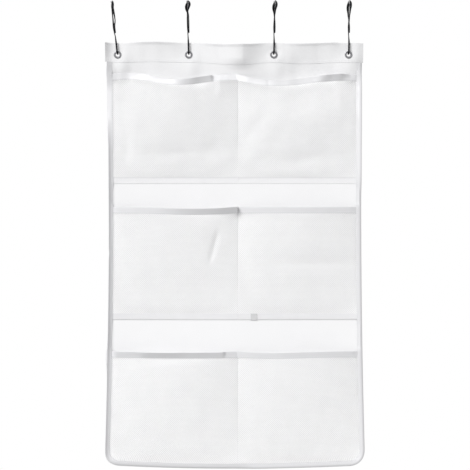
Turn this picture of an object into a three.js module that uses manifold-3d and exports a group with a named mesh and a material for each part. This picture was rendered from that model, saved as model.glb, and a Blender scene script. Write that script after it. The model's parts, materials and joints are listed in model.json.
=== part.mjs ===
import * as THREE from 'three';
import { mergeVertices } from 'three/addons/utils/BufferGeometryUtils.js';
import Module from 'manifold-3d';

// Hanging mesh shower caddy: a cloth back panel with three rows of two mesh pockets, hung by four
// wire hooks. Millimetres, X across, Z up, the front faces -Y. The origin is where the hooks bear
// on their rod, midway across. Depths are measured down from the panel's top edge.

const wasm = await Module();
wasm.setup();

// Back panel
const PANEL_HEIGHT = 655;
const PANEL_TOP_WIDTH = 393;
const PANEL_WAIST_WIDTH = 390;
const PANEL_BOTTOM_WIDTH = 401;
const WAIST_DEPTH = 230;
const BOTTOM_CORNER_RADIUS = 25;
const BOTTOM_BELLY = 4;

// Cloth layers
const CLOTH = 0.5;
const SEAM_GAP = 0.3;
const HEADER_OVERHANG = 2;
const HEADER_HEIGHT = 29;
const BINDING_WIDTH = 8;
const EDGE_TUCK = 1.5;

// Pockets. Each row has the depths of its mouth and of the sewn line at its foot, how far its mouths
// stand out, and how its left and right mouth edges dip: the depths of one, two and three half waves
const CENTRE_SEAM_X = 5;
const RIBBON_HEIGHT = 10;
const POCKET_HEM = 10;
const POCKET_ROUNDNESS = 0.75;
const TOP_MOUTH_DEPTH = 48;
const TOP_SEAM_DEPTH = 206;
const TOP_FULLNESS = 16;
const TOP_DIPS = [[0.6, 0, -3.2], [6.5, 3.5, 0]];
const MIDDLE_MOUTH_DEPTH = 252;
const MIDDLE_SEAM_DEPTH = 416;
const MIDDLE_FULLNESS = 13;
const MIDDLE_DIPS = [[2.4, -0.8, 0], [0.5, 0, 0]];
const BOTTOM_MOUTH_DEPTH = 474;
const BOTTOM_FULLNESS = 13;
const BOTTOM_DIPS = [[1, 0, 0], [0.3, 0.8, 0]];
const POCKET_ROWS = [
  {
    name: 'top', mouth: TOP_MOUTH_DEPTH, seam: TOP_SEAM_DEPTH, edge: TOP_SEAM_DEPTH + POCKET_HEM,
    fullness: TOP_FULLNESS, dips: TOP_DIPS,
  },
  {
    name: 'middle', mouth: MIDDLE_MOUTH_DEPTH, seam: MIDDLE_SEAM_DEPTH,
    edge: MIDDLE_SEAM_DEPTH + POCKET_HEM, fullness: MIDDLE_FULLNESS, dips: MIDDLE_DIPS,
  },
  {
    name: 'bottom', mouth: BOTTOM_MOUTH_DEPTH, seam: PANEL_HEIGHT - BOTTOM_BELLY - BINDING_WIDTH,
    edge: PANEL_HEIGHT - BOTTOM_BELLY - EDGE_TUCK, fullness: BOTTOM_FULLNESS, dips: BOTTOM_DIPS,
  },
];
const COLUMNS_PER_POCKET = 16;
const POCKET_GRID_ROWS = 9;
const FOOT_CROWDING = 1.5;

// Blank label on the middle row's hem
const LABEL_WIDTH = 10;
const LABEL_X = 30;

// Eyelets, placed from the header's ends
const EYELET_DEPTH = 17.4;
const LEFT_EYELET_MARGIN = 18.5;
const LEFT_EYELET_PITCH = 109.5;
const RIGHT_EYELET_MARGIN = 23;
const RIGHT_EYELET_PITCH = 115;
const EYELET_HOLE_RADIUS = 3;
const EYELET_WALL = 0.5;
const FLANGE_WIDTH = 2.3;
const FLANGE_THICKNESS = 0.9;
const WASHER_WIDTH = 1.6;
const WASHER_THICKNESS = 0.5;
const LIP_WIDTH = 1.3;

// Hooks, sizes to the wire's centre line, and each one's sideways lean and twist from left to right
const WIRE_DIAMETER = 2.6;
const JAW_BEND_RADIUS = 3.2;
const TIP_HEIGHT = 15;
const STEM_CLEARANCE = 2;
const STEM_RUN = 14.3;
const CLASP_LENGTH = 9;
const CLASP_GAP = 0.35;
const CLASP_OFFSET = 0.6;
const THROAT_LENGTH = 12;
const LOOP_RADIUS = 15.5;
const LOOP_END_DEG = 225;
const TWIST_LENGTH = 18;
const TWIST_SHARPNESS = 0.7;
const HOOK_LEAN_DEG = [-6, -1.1, 1.4, 1];
const HOOK_TWIST = [0.3, 2.8, 2.8, 2.8];

// Layers, counted out from the panel's middle
const LAYER = CLOTH + SEAM_GAP;
const PANEL_FACE = CLOTH / 2;
const HEADER_FACE = PANEL_FACE + LAYER;
const MESH_SEAT = PANEL_FACE + SEAM_GAP;
const BINDING_FRONT = MESH_SEAT + LAYER + CLOTH + LAYER;
const EYELET_SEAT = HEADER_FACE + SEAM_GAP;
const EYELET_FRONT = EYELET_SEAT + FLANGE_THICKNESS;
const WASHER_BACK = EYELET_SEAT + WASHER_THICKNESS;
const LIP_FRONT = WASHER_BACK + SEAM_GAP;
const EYELET_BACK = LIP_FRONT + EYELET_WALL;

// Radii of the eyelets
const BARREL_RADIUS = EYELET_HOLE_RADIUS + EYELET_WALL;
const CLOTH_HOLE_RADIUS = BARREL_RADIUS + SEAM_GAP;

// Heights along a hook from its pivot, the wire's middle in the eyelet
const WIRE_RADIUS = WIRE_DIAMETER / 2;
const JAW_LIFT = EYELET_HOLE_RADIUS - WIRE_RADIUS - SEAM_GAP;
const JAW_RUN = Math.max(EYELET_FRONT, EYELET_BACK);
const JAW_REACH = JAW_RUN + JAW_BEND_RADIUS;
const STEM_TOP = EYELET_DEPTH - JAW_LIFT + STEM_CLEARANCE;
const CLASP_END = STEM_TOP + STEM_RUN;
const CLASP_TOP = CLASP_END + CLASP_LENGTH;
const LOOP_DROP = -LOOP_RADIUS * Math.sin(THREE.MathUtils.degToRad(LOOP_END_DEG));
const LOOP_CENTRE = CLASP_TOP + THROAT_LENGTH + LOOP_DROP;
const HOOK_LENGTH = LOOP_CENTRE + LOOP_RADIUS;

// Places
const PIVOT_Z = WIRE_RADIUS - HOOK_LENGTH;
const EYELET_Z = PIVOT_Z - JAW_LIFT;
const PANEL_TOP_Z = EYELET_Z + EYELET_DEPTH;
const CORNER_DEPTH = PANEL_HEIGHT - BOTTOM_BELLY - BOTTOM_CORNER_RADIUS;
const HEADER_WIDTH = PANEL_TOP_WIDTH + 2 * HEADER_OVERHANG;
const FIRST_EYELET_X = LEFT_EYELET_MARGIN - HEADER_WIDTH / 2;
const LAST_EYELET_X = HEADER_WIDTH / 2 - RIGHT_EYELET_MARGIN;
const EYELET_X = [
  FIRST_EYELET_X, FIRST_EYELET_X + LEFT_EYELET_PITCH, LAST_EYELET_X - RIGHT_EYELET_PITCH, LAST_EYELET_X,
];
const GRID_COLUMNS = 2 * COLUMNS_PER_POCKET + 2;
const ROUND_STEPS = 20;

const zAtDepth = (depth) => PANEL_TOP_Z - depth;
const material = (color, roughness, metalness = 0) =>
  new THREE.MeshStandardMaterial({ color, roughness, metalness });
const clothWhite = material(0xf3f3f4, 0.9);
const meshWhite = material(0xeeeeee, 0.95);
const satinGrey = material(0xc6c6ca, 0.45);
const labelGrey = material(0xb4b4b6, 0.8);
const nickel = material(0xa9a9ab, 0.25, 1);
const darkSteel = material(0x26262a, 0.3, 1);

const part = new THREE.Group();
part.name = 'hanging_mesh_shower_caddy';

function addPiece(name, geometry, surface) {
  const piece = new THREE.Mesh(geometry, surface);
  piece.name = name;
  part.add(piece);
}

// Half the panel's width at a depth: drawn in at the waist, flared below, rounded at the corners
function halfWidthAt(depth) {
  if (depth > CORNER_DEPTH) {
    const drop = Math.min(depth - CORNER_DEPTH, BOTTOM_CORNER_RADIUS);
    const roundedIn = BOTTOM_CORNER_RADIUS - Math.sqrt(BOTTOM_CORNER_RADIUS ** 2 - drop ** 2);
    return PANEL_BOTTOM_WIDTH / 2 - roundedIn;
  }
  const above = depth < WAIST_DEPTH;
  const span = above ? WAIST_DEPTH : CORNER_DEPTH - WAIST_DEPTH;
  const endWidth = above ? PANEL_TOP_WIDTH : PANEL_BOTTOM_WIDTH;
  const flare = ((depth - WAIST_DEPTH) / span) ** 2;
  return (PANEL_WAIST_WIDTH + (endWidth - PANEL_WAIST_WIDTH) * flare) / 2;
}

// The panel's outline set in by a margin, from a depth downwards: side, corner, half the foot, and
// the same mirrored
function panelOutline(margin, fromDepth) {
  const sideSteps = 12;
  const cornerSteps = 8;
  const footSteps = 4;
  const cornerX = PANEL_BOTTOM_WIDTH / 2 - BOTTOM_CORNER_RADIUS;
  const cornerZ = zAtDepth(CORNER_DEPTH);
  const radius = BOTTOM_CORNER_RADIUS - margin;
  const rightHalf = [];
  for (let step = 0; step < sideSteps; step += 1) {
    const depth = THREE.MathUtils.lerp(fromDepth, CORNER_DEPTH, step / sideSteps);
    rightHalf.push(new THREE.Vector2(halfWidthAt(depth) - margin, zAtDepth(depth)));
  }
  for (let step = 0; step <= cornerSteps; step += 1) {
    const angle = (Math.PI / 2) * (step / cornerSteps);
    const across = cornerX + radius * Math.cos(angle);
    rightHalf.push(new THREE.Vector2(across, cornerZ - radius * Math.sin(angle)));
  }
  for (let step = 1; step <= footSteps; step += 1) {
    const share = 1 - step / footSteps;
    const sag = BOTTOM_BELLY * (1 - share ** 2);
    rightHalf.push(new THREE.Vector2(cornerX * share, cornerZ - radius - sag));
  }
  const leftHalf = rightHalf.slice(0, -1).reverse().map(({ x, y }) => new THREE.Vector2(-x, y));
  return new THREE.Shape([...rightHalf, ...leftHalf]);
}

// An upright plate between two Y faces
function plate(shape, front, back) {
  const options = { depth: back - front, bevelEnabled: false, curveSegments: ROUND_STEPS / 2 };
  const geometry = new THREE.ExtrudeGeometry(shape, options);
  return geometry.rotateX(Math.PI / 2).translate(0, back, 0);
}

function toSolid(geometry) {
  geometry.deleteAttribute('normal');
  geometry.deleteAttribute('uv');
  const merged = mergeVertices(geometry);
  const vertProperties = new Float32Array(merged.attributes.position.array);
  const triVerts = new Uint32Array(merged.index.array);
  return new wasm.Manifold(new wasm.Mesh({ numProp: 3, vertProperties, triVerts }));
}

function fromSolid(solid) {
  const { vertProperties, triVerts } = solid.getMesh();
  const geometry = new THREE.BufferGeometry();
  geometry.setAttribute('position', new THREE.BufferAttribute(vertProperties, 3));
  geometry.setIndex(new THREE.BufferAttribute(triVerts, 1));
  geometry.computeVertexNormals();
  return geometry;
}

function moveVertices(geometry, place) {
  const positions = geometry.attributes.position;
  const point = new THREE.Vector3();
  for (let index = 0; index < positions.count; index += 1) {
    const placed = place(point.fromBufferAttribute(positions, index));
    positions.setXYZ(index, placed.x, placed.y, placed.z);
  }
  geometry.computeVertexNormals();
  return geometry;
}

function turned(profile) {
  const points = profile.map(([radius, y]) => new THREE.Vector2(radius, y));
  return new THREE.LatheGeometry(points, ROUND_STEPS);
}

// Back panel, pierced for the eyelets
function backPanel() {
  const shape = panelOutline(0, 0);
  EYELET_X.forEach((x) => {
    const hole = new THREE.Path();
    hole.absarc(x, EYELET_Z, CLOTH_HOLE_RADIUS, 0, 2 * Math.PI);
    shape.holes.push(hole);
  });
  return plate(shape, -PANEL_FACE, PANEL_FACE);
}

// Header band folded over the panel's top edge and pierced for the eyelets
function headerBand() {
  const outer = new THREE.BoxGeometry(HEADER_WIDTH, 2 * HEADER_FACE, HEADER_HEIGHT + LAYER);
  outer.translate(0, 0, zAtDepth((HEADER_HEIGHT - LAYER) / 2));
  const innerFace = PANEL_FACE + SEAM_GAP;
  const slot = new THREE.BoxGeometry(2 * HEADER_WIDTH, 2 * innerFace, 2 * HEADER_HEIGHT);
  slot.translate(0, 0, zAtDepth(HEADER_HEIGHT - SEAM_GAP));
  let band = toSolid(outer).subtract(toSolid(slot));
  EYELET_X.forEach((x) => {
    const length = 4 * HEADER_FACE;
    const punch = new THREE.CylinderGeometry(CLOTH_HOLE_RADIUS, CLOTH_HOLE_RADIUS, length, ROUND_STEPS);
    band = band.subtract(toSolid(punch.translate(x, 0, EYELET_Z)));
  });
  return fromSolid(band);
}

// Satin tape folded round the panel's sides and foot, from below the header
function edgeBinding() {
  const start = HEADER_HEIGHT + SEAM_GAP;
  const beyond = start - LAYER;
  const outer = plate(panelOutline(-LAYER, start), -BINDING_FRONT, HEADER_FACE);
  const groove = plate(panelOutline(-SEAM_GAP, beyond), CLOTH - BINDING_FRONT, HEADER_FACE - CLOTH);
  const middle = plate(panelOutline(BINDING_WIDTH, beyond), -2 * BINDING_FRONT, 2 * HEADER_FACE);
  return fromSolid(toSolid(outer).subtract(toSolid(groove)).subtract(toSolid(middle)));
}

// Columns run from the left edge to the right: the outer ones are tucked into the binding, and the
// others divide each pocket evenly from the binding to the centre seam
function columnX(column, depth) {
  const half = halfWidthAt(depth);
  const inner = half - BINDING_WIDTH;
  if (column === 0 || column === GRID_COLUMNS) {
    return Math.sign(column - 1) * (half - EDGE_TUCK);
  }
  const share = (column - 1 - COLUMNS_PER_POCKET) / COLUMNS_PER_POCKET;
  const reach = share < 0 ? inner + CENTRE_SEAM_X : inner - CENTRE_SEAM_X;
  return CENTRE_SEAM_X + share * reach;
}

// Where a point of a pocket row hangs: its mouth stands out and dips between the sewn lines
function pocketPoint(row, column, depth, forward) {
  const tucked = column === 0 || column === GRID_COLUMNS;
  const along = tucked ? 0 : ((column - 1) / COLUMNS_PER_POCKET) % 1;
  const dips = row.dips[column <= COLUMNS_PER_POCKET ? 0 : 1];
  const rise = THREE.MathUtils.clamp((row.seam - depth) / (row.seam - row.mouth), 0, 1);
  const bulge = row.fullness * 4 * along * (1 - along) * rise ** POCKET_ROUNDNESS;
  const waves = dips.map((dip, index) => dip * Math.sin((index + 1) * Math.PI * along));
  const dip = rise ** 2 * waves.reduce((total, wave) => total + wave, 0);
  const seat = MESH_SEAT + LAYER * rise;
  return new THREE.Vector3(columnX(column, depth), -seat - bulge - forward, zAtDepth(depth + dip));
}

// Depth of each row of the strip's grid: the ribbon's span, the pocket, then the hem
function gridDepth(row, step) {
  if (step === 0) {
    return row.mouth;
  }
  if (step === POCKET_GRID_ROWS) {
    return row.edge;
  }
  const share = (step - 1) / (POCKET_GRID_ROWS - 2);
  const below = 1 - (1 - share) ** FOOT_CROWDING;
  return THREE.MathUtils.lerp(row.mouth + RIBBON_HEIGHT - LAYER, row.seam, below);
}

function pocketMesh(row) {
  const grid = new THREE.BoxGeometry(
    GRID_COLUMNS, CLOTH, POCKET_GRID_ROWS, GRID_COLUMNS, 1, POCKET_GRID_ROWS);
  return moveVertices(grid, ({ x, y, z }) => {
    const column = Math.round(x + GRID_COLUMNS / 2);
    const step = Math.round(POCKET_GRID_ROWS / 2 - z);
    return pocketPoint(row, column, gridDepth(row, step), CLOTH / 2 - y);
  });
}

// Ribbon folded over a strip's mouth edge: a section carried along the mouth, short of the binding
function pocketRibbon(row) {
  const foot = RIBBON_HEIGHT - LAYER;
  const section = new THREE.Shape();
  section.moveTo(-LAYER, -LAYER);
  section.lineTo(CLOTH + LAYER, -LAYER);
  section.lineTo(CLOTH + LAYER, foot);
  section.lineTo(CLOTH + SEAM_GAP, foot);
  section.lineTo(CLOTH + SEAM_GAP, -SEAM_GAP);
  section.lineTo(-SEAM_GAP, -SEAM_GAP);
  section.lineTo(-SEAM_GAP, foot);
  section.lineTo(-LAYER, foot);
  const lastColumn = GRID_COLUMNS - 1;
  const steps = lastColumn - 1;
  const band = new THREE.ExtrudeGeometry(section, { depth: steps, steps, bevelEnabled: false });
  return moveVertices(band, ({ x, y, z }) => {
    const column = Math.round(z) + 1;
    const placed = pocketPoint(row, column, row.mouth + y, x);
    const isEnd = column === 1 || column === lastColumn;
    return isEnd ? placed.setX(placed.x - SEAM_GAP * Math.sign(placed.x)) : placed;
  });
}

// Blank label standing on the middle row's hem
function labelTab() {
  const row = POCKET_ROWS[1];
  const height = row.edge - row.seam;
  const middle = MESH_SEAT + CLOTH + SEAM_GAP + CLOTH / 2;
  const tab = new THREE.BoxGeometry(LABEL_WIDTH, CLOTH, height);
  return tab.translate(LABEL_X, -middle, zAtDepth(row.edge - height / 2));
}

// Eyelet: a rounded flange in front, a barrel through the header, a rolled lip behind the washer
function eyelet() {
  const round = FLANGE_THICKNESS / 2;
  const flangeRadius = BARREL_RADIUS + FLANGE_WIDTH;
  const lipRadius = BARREL_RADIUS + LIP_WIDTH;
  return turned([
    [EYELET_HOLE_RADIUS, round - EYELET_FRONT],
    [EYELET_HOLE_RADIUS + round, -EYELET_FRONT],
    [flangeRadius - round, -EYELET_FRONT],
    [flangeRadius, round - EYELET_FRONT],
    [flangeRadius, -EYELET_SEAT],
    [BARREL_RADIUS, -EYELET_SEAT],
    [BARREL_RADIUS, LIP_FRONT],
    [lipRadius, LIP_FRONT],
    [lipRadius, (LIP_FRONT + EYELET_BACK) / 2],
    [BARREL_RADIUS, EYELET_BACK],
    [EYELET_HOLE_RADIUS, LIP_FRONT],
    [EYELET_HOLE_RADIUS, round - EYELET_FRONT],
  ]);
}

function washer() {
  const washerRadius = CLOTH_HOLE_RADIUS + WASHER_WIDTH;
  return turned([
    [CLOTH_HOLE_RADIUS, EYELET_SEAT],
    [washerRadius, EYELET_SEAT],
    [washerRadius, WASHER_BACK],
    [CLOTH_HOLE_RADIUS, WASHER_BACK],
    [CLOTH_HOLE_RADIUS, EYELET_SEAT],
  ]);
}

// Sideways place of the wire below the loop's top: the front and back of the loop cross once, then
// lie side by side at the clasp
function loopOffset(height, twist) {
  const drop = HOOK_LENGTH - height;
  if (drop < TWIST_LENGTH) {
    return twist * Math.sin(Math.PI * (drop / TWIST_LENGTH) ** TWIST_SHARPNESS);
  }
  const settle = Math.min((2 * (drop - TWIST_LENGTH)) / TWIST_LENGTH, 1);
  return -CLASP_OFFSET * Math.sin((settle * Math.PI) / 2);
}

// Hook about its pivot: tip behind the header, jaw through the eyelet, stem in front, then a loop
// for the rod whose end springs shut against the stem
function hook(twist) {
  const clasp = WIRE_RADIUS + CLASP_GAP / 2;
  const points = [[0, JAW_REACH, TIP_HEIGHT], [0, JAW_REACH, (JAW_BEND_RADIUS + TIP_HEIGHT) / 2]];
  const jawBend = (side, turn) => {
    const angle = THREE.MathUtils.degToRad(turn);
    const reach = JAW_RUN + JAW_BEND_RADIUS * Math.cos(angle);
    points.push([0, side * reach, JAW_BEND_RADIUS * (1 - Math.sin(angle))]);
  };
  [0, 30, 60, 90].forEach((turn) => jawBend(1, turn));
  [90, 60, 30, 0].forEach((turn) => jawBend(-1, turn));
  points.push([0, -JAW_REACH, (JAW_BEND_RADIUS + STEM_TOP) / 2], [0, -JAW_REACH, STEM_TOP]);
  points.push([-CLASP_OFFSET, -clasp, CLASP_END], [-CLASP_OFFSET, -clasp, CLASP_TOP]);
  const loopSteps = 18;
  for (let step = 0; step <= loopSteps; step += 1) {
    const turn = THREE.MathUtils.lerp(LOOP_END_DEG, 180 - LOOP_END_DEG, step / loopSteps);
    const angle = THREE.MathUtils.degToRad(turn);
    const height = LOOP_CENTRE + LOOP_RADIUS * Math.sin(angle);
    const side = Math.sign(loopSteps / 2 - step);
    points.push([side * loopOffset(height, twist), LOOP_RADIUS * Math.cos(angle), height]);
  }
  points.push([CLASP_OFFSET, clasp, CLASP_TOP], [CLASP_OFFSET, clasp, CLASP_END]);
  const path = new THREE.CatmullRomCurve3(points.map((point) => new THREE.Vector3(...point)));
  const wire = new THREE.Shape();
  wire.absarc(0, 0, WIRE_RADIUS, 0, 2 * Math.PI);
  const options = { extrudePath: path, steps: 72, curveSegments: 4, bevelEnabled: false };
  return new THREE.ExtrudeGeometry(wire, options);
}

addPiece('back_panel', backPanel(), clothWhite);
addPiece('header_band', headerBand(), clothWhite);
addPiece('edge_binding', edgeBinding(), satinGrey);
POCKET_ROWS.forEach((row) => {
  addPiece(`pocket_mesh_${row.name}`, pocketMesh(row), meshWhite);
  addPiece(`pocket_ribbon_${row.name}`, pocketRibbon(row), satinGrey);
});
addPiece('label_tab', labelTab(), labelGrey);
EYELET_X.forEach((x, index) => {
  const number = index + 1;
  const lean = THREE.MathUtils.degToRad(HOOK_LEAN_DEG[index]);
  addPiece(`grommet_${number}`, eyelet().translate(x, 0, EYELET_Z), nickel);
  addPiece(`grommet_washer_${number}`, washer().translate(x, 0, EYELET_Z), nickel);
  addPiece(`hook_${number}`, hook(HOOK_TWIST[index]).rotateY(lean).translate(x, 0, PIVOT_Z), darkSteel);
});

export default part;
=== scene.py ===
import json
import math
from dataclasses import dataclass
from functools import partial

import bmesh
import bpy
import numpy as np
from mathutils import Matrix, Vector


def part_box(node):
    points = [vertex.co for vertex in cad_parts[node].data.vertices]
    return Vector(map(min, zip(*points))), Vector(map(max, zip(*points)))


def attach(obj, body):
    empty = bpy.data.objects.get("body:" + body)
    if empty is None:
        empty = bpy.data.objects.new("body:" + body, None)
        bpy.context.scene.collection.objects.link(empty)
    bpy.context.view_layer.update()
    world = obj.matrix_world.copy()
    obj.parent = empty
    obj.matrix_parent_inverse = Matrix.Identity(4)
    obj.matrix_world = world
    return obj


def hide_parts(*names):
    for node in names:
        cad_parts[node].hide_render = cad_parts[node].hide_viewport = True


# A hanging mesh shower caddy. Sizes are in millimetres, and depths are measured down from the
# panel's top edge. MM turns them into the frame's metres when a mesh is placed.
MM = 0.001

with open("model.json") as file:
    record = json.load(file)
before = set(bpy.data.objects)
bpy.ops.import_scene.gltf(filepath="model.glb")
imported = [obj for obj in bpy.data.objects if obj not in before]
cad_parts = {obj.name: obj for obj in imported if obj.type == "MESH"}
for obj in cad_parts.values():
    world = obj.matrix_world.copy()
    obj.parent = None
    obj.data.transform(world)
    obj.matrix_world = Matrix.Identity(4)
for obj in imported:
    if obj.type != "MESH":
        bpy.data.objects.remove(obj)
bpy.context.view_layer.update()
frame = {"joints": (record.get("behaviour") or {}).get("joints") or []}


# Sizes shared with the solids
def node_box(node):
    """The low and high corners of a solid's box, in millimetres."""
    return [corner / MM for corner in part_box(node)]


def node_middle(node):
    """The middle of a solid's box, in millimetres."""
    low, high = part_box(node)
    return (low + high) / 2 / MM


panel_low, panel_high = node_box("back_panel")
PANEL_TOP = panel_high.z
PANEL_HEIGHT = panel_high.z - panel_low.z
BOTTOM_WIDTH = panel_high.x - panel_low.x
TOP_WIDTH = 393
WAIST_WIDTH = 390
WAIST_DEPTH = 230
CORNER_RADIUS = 25
BELLY = 4
CORNER_DEPTH = PANEL_HEIGHT - BELLY - CORNER_RADIUS
FOOT_REACH = BOTTOM_WIDTH / 2 - CORNER_RADIUS

header_low, header_high = node_box("header_band")
HEADER_WIDTH = header_high.x - header_low.x
HEADER_DEPTH = PANEL_TOP - header_low.z
HEADER_FACE = header_high.y

CLOTH = 0.5
SEAM_GAP = 0.3
LAYER = CLOTH + SEAM_GAP
PANEL_FACE = CLOTH / 2
MESH_SEAT = PANEL_FACE + SEAM_GAP
BINDING_WIDTH = 8
BINDING_FRONT = -node_box("edge_binding")[0].y
EDGE_TUCK = 1.5
CENTRE_SEAM = 5
RIBBON_HEIGHT = 10
RIBBON_FLAT = RIBBON_HEIGHT - LAYER
POCKET_ROUNDNESS = 0.75

EYELETS = [node_middle(f"grommet_{number}").x for number in range(1, 5)]
EYELET_DEPTH = PANEL_TOP - node_middle("grommet_1").z
EYELET_HOLE = 3
EYELET_WALL = 0.5
PIVOTS = [Vector(joint["pos_m"]) / MM for joint in frame["joints"]]

# Cloth is drawn thinner than the solids' sheets. Cut sizes are those of the cloth laid flat
WOVEN_THICKNESS = 0.9 * CLOTH
SATIN_THICKNESS = 0.8 * CLOTH
LABEL_THICKNESS = 0.16
RIBBON_CUT = (380, 21.5)


@dataclass
class PocketRow:
    """One row of two pockets. A setting with two parts has one for the left and one for the right."""

    name: str
    # Depths of the mouth, the sewn foot and the mesh's lower edge
    mouth: float
    seam: float
    edge: float
    # How far the mouths stand out, how much mesh is folded under, and whether the tape binds the foot
    fullness: float
    hem: float
    bound: bool
    # How far the mouths dip in one, two and three half waves
    dips: tuple
    # Stops along each mouth from 0 to 1: how far the ribbon leans forward and the pleats stand out
    leans: tuple
    pleats: tuple

    def rise(self, depth):
        """0 at the sewn foot, 1 at the mouth."""
        return np.clip((self.seam - depth) / (self.seam - self.mouth), 0, 1)


NO_PLEATS = ((0, 0), (1, 0))
ROWS = [
    PocketRow(
        "top", mouth=48, seam=206, edge=216, fullness=16, hem=0, bound=False,
        dips=((5.8, -1.6, -3.2), (8, 4, 0)),
        leans=(
            (
                (0, 0.4), (0.15, -0.3), (0.25, -1.2), (0.48, -1.6), (0.6, 2),
                (0.68, 5.2), (0.785, 5.6), (0.805, -4), (0.86, -6.5), (1, -7),
            ),
            (
                (0, -5), (0.15, -2.4), (0.24, -1.9), (0.3, -1.7), (0.45, -1.7), (0.62, -1.2),
                (0.77, 8), (0.85, 8), (0.95, -3), (1, -3),
            ),
        ),
        pleats=(
            ((0, 0), (0.45, -1.5), (0.6, 0), (0.785, -4.5), (0.81, -5.4), (0.87, 2), (0.93, 4.5), (1, 6)),
            (
                (0, 6), (0.15, 0.8), (0.235, 0.8), (0.256, 0), (0.29, 0.9),
                (0.6, 1), (0.86, -3), (0.96, 0.5), (1, 0),
            ),
        ),
    ),
    PocketRow(
        "middle", mouth=252, seam=416, edge=426, fullness=13, hem=10, bound=False,
        dips=((2.4, -0.8, 0), (0.5, 0, 0)),
        leans=(
            ((0, 1.5), (0.3, 1.5), (0.76, 6.5), (0.95, 16), (1, 16)),
            ((0, 2), (0.3, 1.6), (1, 1.6)),
        ),
        pleats=(((0, 0), (0.8, 2), (1, 0)), NO_PLEATS),
    ),
    PocketRow(
        "bottom", mouth=474, seam=PANEL_HEIGHT - BELLY - BINDING_WIDTH,
        edge=PANEL_HEIGHT - BELLY - EDGE_TUCK, fullness=13, hem=0, bound=True,
        dips=((-0.3, -0.3, 0), (0.3, 0.8, 0)),
        leans=(
            ((0, 6), (0.18, 6.5), (0.3, 13.4), (0.46, 13.4), (0.6, 8.5), (0.88, 7.5), (0.905, 2.2), (1, 2.2)),
            ((0, 3.2), (1, 2.6)),
        ),
        pleats=(NO_PLEATS, NO_PLEATS),
    ),
]

# Cloth forms that only the looks have. Stops are crests and hollows: a place, and how far forward the
# cloth hangs there. A pair that ends in FADE or RISE is the depths between which a form comes or goes
HEADER_WAVES = (
    (-199, 18), (-178, 0), (-160, -10), (-142, -8), (-115, -5), (EYELETS[1], 0), (-52, -8), (-28, -5),
    (5, -1), (EYELETS[2], 0), (80, -9), (97, -11), (125, -9), (170, 0), (199, -16),
)
WAVE_FADE = (HEADER_DEPTH - 6, 74)
HEADER_LEANS = (
    (-199, 11), (0, 9), (12, 9), (20, 10), (EYELETS[2], 6), (108, 10), (140, 10), (165, 8), (199, 4)
)
LEAN_REACH = 64
LEAN_STRAIGHT = 0.4
# Tilts are slopes: how far forward for each millimetre above the eyelets
HEADER_TILTS = (
    (-190, 0.01), (-155, 0.1), (-60, 0.05), (0, 0.06), (74, 0.13), (105, 0.22), (146, 0.19), (164, 0.09),
    (199, 0.08),
)
TILT_FADE = (34, 120)
HEM_LIFT = 3
HEM_FADE = (HEADER_DEPTH - 4, 52)
RIDGE = 13
RIDGE_HEIGHT = 8
RIDGE_RUN_UP = 45
RIDGE_RUN_DOWN = 14
RIDGE_FADE = (HEADER_DEPTH - 10, HEADER_DEPTH + 10)
TOP_ROLL = 1.2
ROLL_DEPTH = 4
LEFT_CURL = ((20, 0), (45, -1), (100, -1), (165, 5.5), (323, 6.5), (655, 6))
RIGHT_CURL = ((30, 0), (60, 0.5), (190, 0.5), (240, -2.4), (655, -2.4))
FOOT_CURL = ((-200, -6.6), (0, -6.6), (40, -3.5), (200, -3.5))
CURL_RISE = (HEADER_DEPTH - 6, HEADER_DEPTH + 30)
CURL_SPAN = 11
CURL_LIMIT = 1.05
SLOW_WAVE = 1.6
SLOW_RISE = (60, 500)
SLOW_ACROSS = 62
SLOW_DOWN = 260
# Each sag of the header: its middle, its drop and its spread
SAGS = ((11.5, 4.2, 38), (-145, -1.3, 32), (104, 1.3, 34))
SAG_FADE = (HEADER_DEPTH, HEADER_DEPTH + 45)
# Each crease of the mesh: where it starts and ends, across and down, its spread and its height
CREASES = (
    (-25, 287, -38, 337, 3.5, -2.5),
    (55, 338, 186, 338, 5, -1.5),
    (-160, 172, -20, 166, 7, -1.5),
    (40, 184, 180, 172, 8, -1.6),
    (-176, 70, -164, 175, 8, -2),
    (60, 95, 10, 150, 6, -1),
)
CREASE_PAST = 0.2
CREASE_INSIDE = 0.3
RUMPLE = 0.25
TOP_RUMPLE = 0.3
TOP_RUMPLE_FADE = (150, 260)
# Each bump of the left edge: its depth, how far out it stands and its spread
EDGE_BUMPS = ((323, -1.3, 4), (484, 2.3, 13))
# Rounds at the eyelets where the cloth stays flat, and how far off it hangs free: for folds, then tilt
EYELET_FLAT = 4
EYELET_HOLD = 26
FLANGE_FLAT = 6.5
FLANGE_HOLD = 6
# Shares of a pocket's width and height over which its folds die out at the seams, the foot and the tape
SEAM_EASE = 0.12
FOOT_EASE = 0.15
BOUND_EASE = 0.05
PLEAT_STEEPNESS = 8


def smooth_step(low, high, value):
    """0 up to low, 1 from high on, and a smooth rise between."""
    share = np.clip((value - low) / (high - low), 0, 1)
    return share * share * (3 - 2 * share)


def hump(value, middle, spread):
    """A bell of height 1 about its middle."""
    return np.exp(-(((value - middle) / spread) ** 2) / 2)


def through(stops, value):
    """A smooth line through crests and hollows, level at each of them."""
    height = np.full(np.shape(value), float(stops[0][1]))
    for (start, low), (end, high) in zip(stops, stops[1:]):
        height = height + (high - low) * smooth_step(start, end, value)
    return height


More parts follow.
